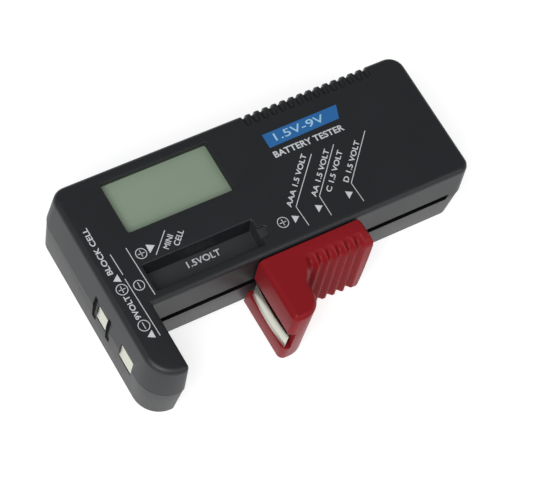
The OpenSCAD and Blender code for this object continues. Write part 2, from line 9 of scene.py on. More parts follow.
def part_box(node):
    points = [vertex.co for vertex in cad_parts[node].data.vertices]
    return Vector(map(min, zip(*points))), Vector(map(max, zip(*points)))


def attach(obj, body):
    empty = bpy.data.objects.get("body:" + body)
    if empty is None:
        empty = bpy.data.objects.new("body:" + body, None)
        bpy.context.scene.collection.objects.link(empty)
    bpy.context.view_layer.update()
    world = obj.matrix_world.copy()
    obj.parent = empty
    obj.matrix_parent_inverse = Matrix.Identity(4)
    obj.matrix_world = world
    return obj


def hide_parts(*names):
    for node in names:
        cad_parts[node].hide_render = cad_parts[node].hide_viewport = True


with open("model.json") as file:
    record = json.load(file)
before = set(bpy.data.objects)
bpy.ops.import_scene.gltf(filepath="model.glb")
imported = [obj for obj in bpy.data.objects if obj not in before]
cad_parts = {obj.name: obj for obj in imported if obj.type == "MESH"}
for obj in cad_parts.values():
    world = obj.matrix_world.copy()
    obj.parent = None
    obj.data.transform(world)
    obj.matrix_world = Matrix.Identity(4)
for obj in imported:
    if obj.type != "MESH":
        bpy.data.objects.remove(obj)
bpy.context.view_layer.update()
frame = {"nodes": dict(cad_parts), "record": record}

MM = 0.001


def box_mm(node):
    low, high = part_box(node)
    return low / MM, high / MM


# ------------------------------------------------------------------ sizes, in millimetres

TOP_LOW, TOP_HIGH = box_mm("top_housing")
ARM_LOW, ARM_HIGH = box_mm("slider_arm")
FOOT_PLATE_LOW, FOOT_PLATE_HIGH = box_mm("cell_minus_plate")
PLUS_LOW, PLUS_HIGH = box_mm("nine_volt_plus_plate")
MINUS_LOW, MINUS_HIGH = box_mm("nine_volt_minus_plate")
RAIL_LOW = box_mm("contact_rail")[0]
LEAF_LOW, LEAF_HIGH = box_mm("leaf_contact")

# The housings
X_LEFT, X_RIGHT = TOP_LOW.x, TOP_HIGH.x
Y_REAR, Y_TOE, Z_TOP = TOP_HIGH.y, TOP_LOW.y, TOP_HIGH.z
Y_FRONT = -Y_REAR
FOOT_PLATE_PROUD = 0.2
X_FOOT = FOOT_PLATE_HIGH.x - FOOT_PLATE_PROUD
PARTING = 12.5
WALL = 1.5
CEILING = Z_TOP - 2
UPPER_DRAFT = 0.65
LOWER_DRAFT = 0.95
EDGE_RADIUS = 1.6
REAR_RADIUS = 5
FRONT_RADIUS = 4
FOOT_RADIUS = 8.2
TOE_INNER_RADIUS = 2.2
LIP_HEIGHT = 1.2
LIP_INSET = 0.8
LIP_CLEARANCE = 0.08
JOINT_GAP = 0.02
JOINT_BEVEL = 0.2
SUNK = 0.5  # how far a post or a tower runs into the shell it stands on

# The window, the cradle for the mini cell and the ribbed rear edge
WINDOW_X = (-40.3, -8.7)
WINDOW_Y = (0.65, 16.25)
CRADLE_X = (-41.5, -9.4)
CRADLE_Y = (-16.75, -8.95)
CRADLE_FLOOR = Z_TOP - 4.9
CRADLE_FALL = 0.7
CRADLE_LEAN = 0.8
CRADLE_BLOCK_Z = 17.2
CRADLE_WALL = 1.4
NOTCH = (CRADLE_X[1] + 2.5, CRADLE_Y[1] - 5.95)
NOTCH_WIDTH = 3.2
NOTCH_DEPTH = 0.8

RIB_COUNT = 14
RIB_PITCH = 2.69
RIB_X = 5.87
RIB_GROOVE_RADIUS = 0.92
RIB_REACH = 2.9

# Openings in the walls
SLOT_X = (X_FOOT + 0.4, 48.2)
SLOT_Z = (11.1, 14.0)
SLOT_OVERCUT = 0.4
SNAP_Z = (9.2, 15.8)
FOOT_WINDOW_Z = (8, 17)
OPENING_DEPTH = 2.2
PLATE_GAP = 0.1
SCOOP_RADIUS = 1.1
SCOOP_Z = (6.7, 17.1)
SCOOP_OFFSET = 3.5
SCOOP_OUT = 0.15  # from the end wall out to the scoops' centres

# Screw towers, board rests and the posts that hold the contact rail
TOWERS = [(-48.2, 14.2), (48.2, 14.2), (48.2, -10.5), (-48.2, -31.5)]
TOWER_JOINT = 8
UPPER_TOWER_RADIUS = 2.4
LOWER_TOWER_RADIUS = 3.1
PILOT_RADIUS = 1.15
PILOT_DEPTH = 7.8
SCREW_HOLE_RADIUS = 1.35
SCREW_WELL_RADIUS = 2.6
SCREW_WELL_TOP = 4.5
BOARD_TOWERS = [(6.5, 14.5), (6.5, -5.5)]
BOARD_TOWER_RADIUS = 2.2
BOARD_PILOT_RADIUS = 0.9
BOARD_PILOT_DEPTH = 4
BOARD_TOP = 15.9
BOARD_BOTTOM = 14.3
BOARD_RESTS = [(-42.5, -4), (-42.5, 14)]
BOARD_REST_RADIUS = 1.6
RAIL_POST_X = (-28, 4, 36)
RAIL_POST_TOP = 12.8
RAIL_POST_HALF = 1.5

# The sliding arm
ARM_X = (ARM_LOW.x, 17.9)
ARM_Z = (ARM_LOW.z, ARM_HIGH.z)
ARM_TIP_Y = ARM_LOW.y
TIP_RADIUS = 1.8
FINGER_RADIUS = 6
NECK_RADIUS = 3.2
GRIP_RADIUS = 1.4
ARM_REAR_RADIUS = 1.9
ARM_REAR_Y = Y_FRONT + 0.75
BEHIND_Y = Y_FRONT - 0.3  # the arm's rear face, where it passes the joint between the housings
NECK_X = ARM_X[0] + 9
GRIP_Y = Y_FRONT - 8.4
GRIP_START_Y = GRIP_Y + 4.3
GRIP_BEND = (GRIP_Y + 1.5, ARM_Z[1] - 1.4)
GROOVE_PITCH = 2.87
GROOVE_X = ARM_X[0] + 13
GROOVE_COUNT = 6
GROOVE_DEPTH = 1.25
GROOVE_START = 1.0  # the grooves begin this far down the grip's face, and reach their depth over GROOVE_FADE
GROOVE_FADE = 2.2
GRIP_X = (NECK_X + 0.6, ARM_X[1] + 1.5)
GRIP_STEP = 0.12
GRIP_FADE = 2.6  # the length over which the grip sinks into the finger's side
GRIP_HELD_OFF = 1.7
POCKET_DEPTH = 4.95
POCKET_X = ARM_X[0] + POCKET_DEPTH
POCKET_Y = ARM_TIP_Y + 1.5
POCKET_Z = (6.3, 14.3)
TONGUE_X = (POCKET_X + 0.05, POCKET_X + 21.65)
FLANGE_Y = (Y_FRONT + WALL + 0.5, Y_FRONT + WALL + 1.7)
FLANGE_Z = (8.8, 16.2)
TONGUE_CLEARANCE = 0.15

# The sheet-metal contacts
SHEET = 0.4
SNAP_SET_BACK = 0.5
SNAP_FLANGE = 1.3
LEAF_SHEET = 0.35
LEAF_WIDTH = 6
LEAF_BOW = 0.4
LEAF_END = 0.2
LEAF_APEX = ARM_X[0] + 0.2
LEAF_STEPS = 24
LEG_GAP = 0.3


# ------------------------------------------------------------------ mesh tools

OVERCUT = 1.0  # how far a cutter stands out of the face it cuts
WELD = 0.002
SIDES = 48


def mesh_object(name, verts, faces):
    mesh = bpy.data.meshes.new(name)
    mesh.from_pydata([Vector(v) * MM for v in verts], [], faces)
    bm = bmesh.new()
    bm.from_mesh(mesh)
    bmesh.ops.recalc_face_normals(bm, faces=bm.faces)
    bm.to_mesh(mesh)
    bm.free()
    obj = bpy.data.objects.new(name, mesh)
    bpy.context.scene.collection.objects.link(obj)
    return obj


def loft(name, rings, closed=False):
    """A skin through rings of equal length, capped at both ends or joined end to end."""
    n = len(rings[0])
    verts = [p for ring in rings for p in ring]
    last = len(rings) - 1
    faces = []
    for k in range(len(rings) if closed else last):
        up = (k + 1) % len(rings)
        for i in range(n):
            on = (i + 1) % n
            faces.append((k * n + i, k * n + on, up * n + on, up * n + i))
    if not closed:
        faces.append(tuple(reversed(range(n))))
        faces.append(tuple(last * n + i for i in range(n)))
    return mesh_object(name, verts, faces)


def arc(p, r, start, turn=90, steps=12):
    """A rounded corner at the sharp corner p."""
    middle = math.radians(start + math.copysign(45, turn))
    cx = p[0] - r * math.copysign(1, math.cos(middle))
    cy = p[1] - r * math.copysign(1, math.sin(middle))
    angles = [math.radians(start + turn * i / steps) for i in range(steps + 1)]
    return [(cx + r * math.cos(a), cy + r * math.sin(a)) for a in angles]


def case_outline(inset):
    """The case's L-shaped outline, moved inwards; its inner corner is cut with a small root."""
    def r(radius):
        return max(radius - inset, 0.3)
    inner = r(TOE_INNER_RADIUS)
    outer = min(r(FOOT_RADIUS), X_FOOT - X_LEFT - 2 * inset - inner - 0.05)
    root = 0.35
    x, y = X_FOOT - inset, Y_FRONT + inset
    return (
        [(x, y - root), (x + root * 0.3, y - root * 0.3), (x + root, y)]
        + arc((X_RIGHT - inset, Y_FRONT + inset), r(FRONT_RADIUS), 270)
        + arc((X_RIGHT - inset, Y_REAR - inset), r(REAR_RADIUS), 0)
        + arc((X_LEFT + inset, Y_REAR - inset), r(REAR_RADIUS), 90)
        + arc((X_LEFT + inset, Y_TOE + inset), outer, 180, steps=18)
        + arc((X_FOOT - inset, Y_TOE + inset), inner, 270)
    )


def case_loft(name, sections):
    return loft(name, [[(x, y, z) for x, y in case_outline(inset)] for z, inset in sections])


def rounded_rect(x, y, r, steps=6):
    return (arc((x[1], y[0]), r, 270, steps=steps) + arc((x[1], y[1]), r, 0, steps=steps)
            + arc((x[0], y[1]), r, 90, steps=steps) + arc((x[0], y[0]), r, 180, steps=steps))


def pocket(name, x, y, z, corner, fillet, to=None):
    """A cutter for a recess from z[1] down to z[0], with rounded corners and a rounded rim.
    to maps its points, so that the same cutter can work into a side."""
    rings = []
    levels = [(z[0], 0.0), (z[1] - fillet, 0.0)]
    for k in range(1, 6):
        a = math.radians(90 * k / 5)
        levels.append((z[1] - fillet + fillet * math.sin(a), fillet * (1 - math.cos(a))))
    levels.append((z[1] + OVERCUT, fillet + 0.02))
    for level, out in levels:
        ring = rounded_rect((x[0] - out, x[1] + out), (y[0] - out, y[1] + out), corner + out)
        rings.append([(px, py, level) for px, py in ring])
    if to:
        rings = [[to(p) for p in ring] for ring in rings]
    return loft(name, rings)


def block(name, low, high):
    x, y, z = zip(low, high)
    ring = [(x[0], y[0]), (x[1], y[0]), (x[1], y[1]), (x[0], y[1])]
    return loft(name, [[(a, b, level) for a, b in ring] for level in z])


def circle(centre, r, steps):
    return [(centre[0] + r * math.cos(2 * math.pi * i / steps),
             centre[1] + r * math.sin(2 * math.pi * i / steps)) for i in range(steps)]


def drum(name, centre, r, z):
    ring = circle(centre, r, SIDES)
    return loft(name, [[(a, b, level) for a, b in ring] for level in z])


def smooth_path(points, radius, steps=6):
    """A polyline with its inner corners rounded."""
    pts = [Vector(p) for p in points]
    out = [pts[0]]
    for before, here, after in zip(pts, pts[1:], pts[2:]):
        a = here + (before - here).normalized() * min(radius, (before - here).length / 2)
        b = here + (after - here).normalized() * min(radius, (after - here).length / 2)
        for i in range(steps + 1):
            t = i / steps
            out.append(a * (1 - t) ** 2 + here * 2 * t * (1 - t) + b * t ** 2)
    return out + [pts[-1]]


def direction(path, i):
    return (path[min(i + 1, len(path) - 1)] - path[max(i - 1, 0)]).normalized()


def domed_bar(name, path, radius, sides=18):
    """A round bar along a path in a plane of constant X, with its first end rounded."""
    across = Vector((1, 0, 0))
    rings = []

    def ring(centre, ahead, r):
        out = across.cross(ahead)
        rings.append([centre + (across * math.cos(t) + out * math.sin(t)) * r
                      for t in (2 * math.pi * s / sides for s in range(sides))])

    for degrees in (80, 60, 40, 20):
        a = math.radians(degrees)
        ahead = direction(path, 0)
        ring(path[0] - ahead * (radius * math.sin(a)), ahead, radius * math.cos(a))
    for i, p in enumerate(path):
        ring(p, direction(path, i), radius)
    return loft(name, rings)


def joined(name, objects):
    """One object from several, with everything that is laid on them."""
    bm = bmesh.new()
    for obj in objects:
        start = len(bm.verts)
        bm.from_mesh(obj.data)
        bm.verts.ensure_lookup_table()
        for v in bm.verts[start:]:
            v.co = obj.matrix_world @ v.co
    mesh = bpy.data.meshes.new(name)
    bm.to_mesh(mesh)
    bm.free()
    for obj in objects:
        bpy.data.objects.remove(obj)
    out = bpy.data.objects.new(name, mesh)
    bpy.context.scene.collection.objects.link(out)
    return out


def combine(target, tools, operation):
    """Cuts or adds tools, which don't touch each other, in one exact step."""
    tool = joined("tool", tools) if len(tools) > 1 else tools[0]
    step = target.modifiers.new("step", "BOOLEAN")
    step.operation = operation
    step.solver = "EXACT"
    step.object = tool
    bpy.context.view_layer.update()
    done = bpy.data.meshes.new_from_object(target.evaluated_get(bpy.context.evaluated_depsgraph_get()))
    target.modifiers.clear()
    target.data = done
    bpy.data.objects.remove(tool)


def cut(target, *tools):
    combine(target, list(tools), "DIFFERENCE")


def add(target, *tools):
    combine(target, list(tools), "UNION")


def finish_mesh(obj, angle=32):
    """Welds stray points and shades smoothly up to an angle."""
    bm = bmesh.new()
    bm.from_mesh(obj.data)
    bmesh.ops.remove_doubles(bm, verts=bm.verts, dist=WELD * MM)
    bmesh.ops.dissolve_degenerate(bm, dist=WELD * MM, edges=bm.edges)
    bmesh.ops.recalc_face_normals(bm, faces=bm.faces)
    bm.to_mesh(obj.data)
    bm.free()
    for polygon in obj.data.polygons:
        polygon.use_smooth = True
    obj.data.set_sharp_from_angle(angle=math.radians(angle))


# ------------------------------------------------------------------ materials

EDGE_SOFTNESS = 0.25
GLOSS_SPREAD = 0.07


def surface(name, colour, rough, grain=2600, grain_depth=0.012, edge_highlight=0.25, variation=0.12,
            specular=0.5, metallic=0.0, brushed=0.0):
    """A moulded or drawn surface: slow colour changes, a fine grain in the bump, uneven gloss, and
    a painted highlight on the edges, found from the bend of the surface."""
    mat = bpy.data.materials.new(name)
    mat.use_nodes = True
    nodes, links = mat.node_tree.nodes, mat.node_tree.links
    shader = nodes["Principled BSDF"]
    shader.inputs["Metallic"].default_value = metallic
    shader.inputs["Specular IOR Level"].default_value = specular
    where = nodes.new("ShaderNodeTexCoord")

    cloud = nodes.new("ShaderNodeTexNoise")
    cloud.inputs["Scale"].default_value = 55
    cloud.inputs["Detail"].default_value = 5
    links.new(where.outputs["Object"], cloud.inputs["Vector"])

    fine = nodes.new("ShaderNodeTexNoise")
    fine.inputs["Scale"].default_value = grain
    fine.inputs["Detail"].default_value = 3
    if brushed:
        stretch = nodes.new("ShaderNodeMapping")
        stretch.inputs["Scale"].default_value = (1, 1, brushed)
        links.new(where.outputs["Object"], stretch.inputs["Vector"])
        links.new(stretch.outputs["Vector"], fine.inputs["Vector"])
    else:
        links.new(where.outputs["Object"], fine.inputs["Vector"])

    tone = nodes.new("ShaderNodeMix")
    tone.data_type = "RGBA"
    dark = [c * (1 - variation) for c in colour[:3]]
    light = [min(1, c * (1 + variation)) for c in colour[:3]]
    tone.inputs[6].default_value = (*dark, 1)
    tone.inputs[7].default_value = (*light, 1)
    links.new(cloud.outputs["Fac"], tone.inputs[0])

    soft = nodes.new("ShaderNodeBevel")
    soft.samples = 4
    soft.inputs["Radius"].default_value = EDGE_SOFTNESS * MM
    geometry = nodes.new("ShaderNodeNewGeometry")
    match = nodes.new("ShaderNodeVectorMath")
    match.operation = "DOT_PRODUCT"
    links.new(soft.outputs["Normal"], match.inputs[0])
    links.new(geometry.outputs["Normal"], match.inputs[1])
    # Painted highlight: at convex and concave edges alike, where the rounded normal turns from the true one,
    # the colour is mixed towards a paler one
    edge_highlight_mask = nodes.new("ShaderNodeMapRange")
    edge_highlight_mask.inputs["From Min"].default_value = 0.995
    edge_highlight_mask.inputs["From Max"].default_value = 0.86
    edge_highlight_mask.inputs["To Min"].default_value = 0
    edge_highlight_mask.inputs["To Max"].default_value = edge_highlight
    links.new(match.outputs["Value"], edge_highlight_mask.inputs["Value"])

    with_edge_highlight = nodes.new("ShaderNodeMix")
    with_edge_highlight.data_type = "RGBA"
    highlight_colour = [min(1, c * 1.7 + 0.02) for c in colour[:3]]
    with_edge_highlight.inputs[7].default_value = (*highlight_colour, 1)
    links.new(edge_highlight_mask.outputs["Result"], with_edge_highlight.inputs[0])
    links.new(tone.outputs[2], with_edge_highlight.inputs[6])
    links.new(with_edge_highlight.outputs[2], shader.inputs["Base Color"])

    gloss = nodes.new("ShaderNodeMapRange")
    gloss.inputs["To Min"].default_value = max(0.03, rough - GLOSS_SPREAD)
    gloss.inputs["To Max"].default_value = min(1, rough + GLOSS_SPREAD)
    links.new(cloud.outputs["Fac"], gloss.inputs["Value"])
    links.new(gloss.outputs["Result"], shader.inputs["Roughness"])

    bump = nodes.new("ShaderNodeBump")
    bump.inputs["Strength"].default_value = 0.6
    bump.inputs["Distance"].default_value = grain_depth * MM
    links.new(fine.outputs["Fac"], bump.inputs["Height"])
    links.new(soft.outputs["Normal"], bump.inputs["Normal"])
    links.new(bump.outputs["Normal"], shader.inputs["Normal"])
    return mat


def clear(name, colour, alpha):
    mat = surface(name, colour, rough=0.08, grain=900, grain_depth=0.002, edge_highlight=0.1)
    mat.node_tree.nodes["Principled BSDF"].inputs["Alpha"].default_value = alpha
    return mat


looks = {
    "case_plastic": surface("case_plastic", (0.0088, 0.0100, 0.0122), rough=0.46, edge_highlight=0.05, specular=0.44),
    "arm_plastic": surface("arm_plastic", (0.208, 0.0088, 0.0125), rough=0.36, grain=1500,
                           grain_depth=0.006, edge_highlight=0.15, variation=0.06, specular=0.1),
    "contact_metal": surface("contact_metal", (0.62, 0.63, 0.545), rough=0.32, metallic=1, grain=900,
                             grain_depth=0.004, brushed=0.05, variation=0.05),
    "screw_steel": surface("screw_steel", (0.52, 0.52, 0.54), rough=0.3, metallic=1, grain=1800),
    "display_film": surface("display_film", (0.222, 0.284, 0.208), rough=0.32, grain=1500,
                            grain_depth=0.003, variation=0.05, edge_highlight=0.1),
    "display_glass": clear("display_glass", (0.6, 0.68, 0.62), 0.5),
    "display_foil": surface("display_foil", (0.5, 0.52, 0.48), rough=0.35, metallic=0.6),
    "frame_plastic": surface("frame_plastic", (0.05, 0.05, 0.055), rough=0.55),
    "elastomer": surface("elastomer", (0.55, 0.28, 0.33), rough=0.7, grain=3000, brushed=0.1),
    "board_laminate": surface("board_laminate", (0.02, 0.13, 0.05), rough=0.35, grain=1200, edge_highlight=0.3),
    "black_epoxy": surface("black_epoxy", (0.012, 0.012, 0.013), rough=0.45),
    "ferrite": surface("ferrite", (0.035, 0.035, 0.038), rough=0.8, grain=2200, grain_depth=0.03),
    "copper": surface("copper", (0.55, 0.2, 0.08), rough=0.3, metallic=1, grain=1500, brushed=8),
    "can_aluminium": surface("can_aluminium", (0.72, 0.72, 0.74), rough=0.3, metallic=1, brushed=0.05),
    "ceramic": surface("ceramic", (0.45, 0.3, 0.17), rough=0.6),
    "tinned_metal": surface("tinned_metal", (0.62, 0.63, 0.66), rough=0.25, metallic=1),
    "spring_brass": surface("spring_brass", (0.72, 0.52, 0.2), rough=0.3, metallic=1, brushed=0.05),
    "wire_red": surface("wire_red", (0.5, 0.02, 0.02), rough=0.4),
    "wire_black": surface("wire_black", (0.015, 0.015, 0.015), rough=0.4),
    "wire_white": surface("wire_white", (0.7, 0.7, 0.7), rough=0.4),
    "print_white": surface("print_white", (0.56, 0.58, 0.60), rough=0.45, grain=1800,
                           grain_depth=0.004, variation=0.18),
    "label_white": surface("label_white", (0.33, 0.56, 0.74), rough=0.45, grain=1800,
                           grain_depth=0.004, variation=0.1),
    # Matt grain, and a base about twice as pale as the case's: painted light on the cradle's floor and right
    # end
    "case_matt_painted_light": surface("case_matt_painted_light", (0.019, 0.0205, 0.023), rough=0.62, grain=3200, grain_depth=0.02,
                         edge_highlight=0.05, specular=0.5),
    # Near black: painted shade for the slot's floor, the scoops and the faces of the joint between the
    # housings
    "case_painted_shade": surface("case_painted_shade", (0.0016, 0.0017, 0.0019), rough=0.7, edge_highlight=0, specular=0.12),
    "label_blue": surface("label_blue", (0.014, 0.118, 0.335), rough=0.42, grain=1400,
                          grain_depth=0.004, variation=0.08),
}

for part in frame["record"]["subparts"]:
    obj = frame["nodes"][part["node"]]
    obj.data.materials.clear()
    obj.data.materials.append(looks[part["material_slot"]])


def piece(obj, body, slot, look=None, replaces=()):
    obj.data.materials.clear()
    obj.data.materials.append(looks[look or slot])
    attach(obj, body)
    if replaces:
        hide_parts(*replaces)
    return obj


# ------------------------------------------------------------------ openings shared by both shells

def into_left(point):
    """Turns a cutter that works down from Z into one that works from the left end towards +X."""
    x, y, z = point
    return (X_LEFT - z, x, y)


def into_foot(point):
    """The same, from the foot's inner side towards -X."""
    x, y, z = point
    return (X_FOOT + z, x, y)


def end_windows():
    tools = []
    for low, high in ((PLUS_LOW, PLUS_HIGH), (MINUS_LOW, MINUS_HIGH)):
        tools.append(pocket("snap", (low.y - PLATE_GAP, high.y + PLATE_GAP), SNAP_Z, (-OPENING_DEPTH, 0),
                            corner=0.25, fillet=0.3, to=into_left))
    tools.append(pocket("foot", (FOOT_PLATE_LOW.y - PLATE_GAP, FOOT_PLATE_HIGH.y + PLATE_GAP), FOOT_WINDOW_Z,
                        (-OPENING_DEPTH, 0), corner=0.3, fillet=0.3, to=into_foot))
    return tools


def scoop_places():
    middle = (PLUS_LOW.y + PLUS_HIGH.y) / 2
    return [(X_LEFT - SCOOP_OUT, middle + side * SCOOP_OFFSET) for side in (-1, 1)]


def scoops():
    return [drum("scoop", at, SCOOP_RADIUS, SCOOP_Z) for at in scoop_places()]


def front_slot():
    return block("slot", (SLOT_X[0], Y_FRONT - OVERCUT, SLOT_Z[0]),
                 (SLOT_X[1], Y_FRONT + WALL + SLOT_OVERCUT, SLOT_Z[1]))


def cut_openings(shell):
    for tools in (end_windows(), scoops(), [front_slot()]):
        cut(shell, *tools)


# The slot's floor, the scoops and the joint's faces are painted near black, as shade
def in_slot(c, n):
    return (SLOT_X[0] - 0.1 < c.x < SLOT_X[1] + 0.1 and Y_FRONT + 0.2 < c.y < Y_FRONT + WALL + 0.6
            and SLOT_Z[0] - 0.1 < c.z < SLOT_Z[1] + 0.1 and abs(n.z) > 0.8)


def in_scoop(c, n):
    near = any((Vector((c.x, c.y)) - Vector(at)).length < SCOOP_RADIUS + 0.1 for at in scoop_places())
    return near and c.x < X_LEFT + 2.2 and -0.9 < n.x < 0.98 and abs(n.z) < 0.2


def in_joint(c, n):
    return abs(c.z - PARTING) < 0.2 and abs(n.z) < 0.99


def in_cradle(c, n):
    """The cradle's floor and right end, which have a matt grain and, as painted light, a paler colour for
    the light they catch.
    """
    return (CRADLE_X[0] < c.x < NOTCH[0] + 0.2 and CRADLE_Y[0] < c.y < CRADLE_Y[1]
            and CRADLE_FLOOR - 1.5 < c.z < Z_TOP - 0.2 and (n.z > 0.8 or n.x < -0.6))


def dress(obj, look, *places):
    """Gives the faces at the given places a look of their own."""
    obj.data.materials.append(looks[look])
    index = len(obj.data.materials) - 1
    for polygon in obj.data.polygons:
        if any(place(polygon.center / MM, polygon.normal) for place in places):
            polygon.material_index = index


# ------------------------------------------------------------------ upper housing

def rounded_edge(z, inset, radius, steps=7):
    return [(z - radius + radius * math.sin(a), inset + radius * (1 - math.cos(a)))
            for a in (math.radians(90 * k / steps) for k in range(steps + 1))]


def rib_path(x):
    y = Y_REAR - UPPER_DRAFT
    return smooth_path([(x, y - RIB_REACH, Z_TOP + 0.1), (x, y + 0.1, Z_TOP + 0.05),
                        (x, Y_REAR + 0.1, PARTING - 1)], radius=1.9, steps=8)


def cradle_cutter():
    """A trough whose floor falls towards the front and whose rear wall leans over it."""
    trough = pocket("cradle", CRADLE_X, CRADLE_Y, (CRADLE_FLOOR, Z_TOP), corner=0.5, fillet=0.35)
    for v in trough.data.vertices:
        if v.co.z < (CRADLE_FLOOR + 0.1) * MM:
            across = (CRADLE_Y[1] - v.co.y / MM) / (CRADLE_Y[1] - CRADLE_Y[0])
            v.co.z -= CRADLE_FALL * across * MM
            if across < 0.2:
                v.co.y -= CRADLE_LEAN * MM
    return trough


case_top = case_loft("case_top", [
    (CEILING, WALL + UPPER_DRAFT),
    (PARTING + LIP_HEIGHT + 0.1, WALL),
    (PARTING + LIP_HEIGHT + 0.1, LIP_INSET - LIP_CLEARANCE),
    (PARTING + JOINT_GAP, LIP_INSET - LIP_CLEARANCE),
    (PARTING + JOINT_GAP, 0.14),
    (PARTING + JOINT_BEVEL, 0.0),
] + rounded_edge(Z_TOP, UPPER_DRAFT, EDGE_RADIUS))
add(case_top,
    block("cradle_block", (CRADLE_X[0] - CRADLE_WALL, Y_FRONT + WALL - SUNK, CRADLE_BLOCK_Z),
          (CRADLE_X[1] + CRADLE_WALL, CRADLE_Y[1] + CRADLE_WALL, CEILING + 0.4)),
    *[drum("tower", at, UPPER_TOWER_RADIUS, (TOWER_JOINT, CEILING + 0.3)) for at in TOWERS],
    *[drum("tower", at, BOARD_TOWER_RADIUS, (BOARD_TOP, CEILING + 0.3)) for at in BOARD_TOWERS])
cut(case_top,
    pocket("window", WINDOW_X, WINDOW_Y, (CEILING - 0.5, Z_TOP), corner=0.6, fillet=0.15),
    cradle_cutter())
cut(case_top, pocket("notch", (CRADLE_X[1] - 1, NOTCH[0]), (NOTCH[1], NOTCH[1] + NOTCH_WIDTH),
                     (Z_TOP - NOTCH_DEPTH, Z_TOP), corner=0.9, fillet=0.25))
cut(case_top, *[domed_bar("groove", rib_path(RIB_X + (i - 0.5) * RIB_PITCH), RIB_GROOVE_RADIUS)
                for i in range(RIB_COUNT + 1)])
cut_openings(case_top)
cut(case_top,
    *[drum("pilot", at, PILOT_RADIUS, (TOWER_JOINT - OVERCUT, TOWER_JOINT + PILOT_DEPTH)) for at in TOWERS],
    *[drum("pilot", at, BOARD_PILOT_RADIUS, (BOARD_TOP - OVERCUT, BOARD_TOP + BOARD_PILOT_DEPTH))
      for at in BOARD_TOWERS])
finish_mesh(case_top)
piece(case_top, "case", "case_plastic", replaces=["top_housing"])
# Painted light: the cradle's floor and right end get a paler colour
dress(case_top, "case_matt_painted_light", in_cradle)
# Painted shade: near black in the slot, the scoops and the joint
dress(case_top, "case_painted_shade", in_slot, in_scoop, in_joint)

# ------------------------------------------------------------------ lower housing

def rail_post(x):
    """Two cheeks that hold the contact rail between them."""
    left, right = x - RAIL_POST_HALF, x + RAIL_POST_HALF
    y, foot = RAIL_LOW.y, WALL - SUNK
    return [block("post", (left, y + 0.32, foot), (right, y + 1.6, RAIL_POST_TOP)),
            block("post", (left, y - 0.6, foot), (right, y - 0.02, RAIL_LOW.z + 0.3))]


case_bottom = case_loft("case_bottom", [
    (0, LOWER_DRAFT + 0.75),
    (0.1, LOWER_DRAFT + 0.45),
    (0.35, LOWER_DRAFT + 0.18),
    (0.8, LOWER_DRAFT),
    (PARTING - JOINT_BEVEL - JOINT_GAP, 0.12),
    (PARTING - JOINT_GAP, 0.28),
    (PARTING - JOINT_GAP, LIP_INSET),
    (PARTING + LIP_HEIGHT, LIP_INSET),
    (PARTING + LIP_HEIGHT, WALL),
    (WALL, WALL + LOWER_DRAFT),
])
add(case_bottom,
    *[drum("tower", at, LOWER_TOWER_RADIUS, (WALL - SUNK, TOWER_JOINT)) for at in TOWERS],
    *[drum("rest", at, BOARD_REST_RADIUS, (WALL - SUNK, BOARD_BOTTOM)) for at in BOARD_RESTS])
cut_openings(case_bottom)
cut(case_bottom, *[drum("well", at, SCREW_WELL_RADIUS, (-OVERCUT, SCREW_WELL_TOP)) for at in TOWERS])
cut(case_bottom, *[drum("hole", at, SCREW_HOLE_RADIUS, (SCREW_WELL_TOP - SUNK, TOWER_JOINT + OVERCUT))
                   for at in TOWERS])
add(case_bottom, *[cheek for x in RAIL_POST_X for cheek in rail_post(x)])
finish_mesh(case_bottom)
piece(case_bottom, "case", "case_plastic", replaces=["bottom_housing"])
# Painted shade: near black in the slot, the scoops and the joint
dress(case_bottom, "case_painted_shade", in_slot, in_scoop, in_joint)

# ------------------------------------------------------------------ sliding arm


def arm_outline(inset):
    """The arm from above: a long finger at the left and a shorter grip at the right."""
    def r(radius):
        return max(radius - inset, 0.2)
    return ([(ARM_X[0] + inset, ARM_REAR_Y)]
            + arc((ARM_X[0] + inset, ARM_TIP_Y + inset), r(TIP_RADIUS), 180)
            + arc((NECK_X - inset, ARM_TIP_Y + inset), r(FINGER_RADIUS), 270, steps=18)
            + arc((NECK_X - inset, GRIP_Y + 0.6 + inset), NECK_RADIUS + inset, 180, turn=-90)
            + arc((ARM_X[1] - inset, GRIP_Y + 0.05 + inset), r(GRIP_RADIUS), 270)
            + arc((ARM_X[1] - inset, ARM_REAR_Y), r(ARM_REAR_RADIUS), 0))


def space_behind():
    """A cutter that leaves room between the arm and the drafted front wall."""
    far, low, high = Y_FRONT + 12, ARM_Z[0] - 2, ARM_Z[1] + 2
    profile = [(BEHIND_Y + LOWER_DRAFT, low), (BEHIND_Y, PARTING), (BEHIND_Y + UPPER_DRAFT, high),
               (far, high), (far, low)]
    return loft("behind", [[(x, y, z) for y, z in profile] for x in (ARM_X[0] - 2, ARM_X[1] + 2)])


def smoothstep(t):
    t = min(1.0, max(0.0, t))
    return t * t * (3 - 2 * t)


def groove_depth(x, travelled):
    """Zero on a rib's crest, deepest in the middle of a groove, fading out at the grip's upper end."""
    number = (x - GROOVE_X) / GROOVE_PITCH
    away = min(abs(number - k) for k in range(GROOVE_COUNT))
    deep = (0.5 + 0.5 * math.cos(2 * math.pi * min(away, 0.5))) ** 0.8
    return GROOVE_DEPTH * deep * smoothstep((travelled - GROOVE_START) / GROOVE_FADE)


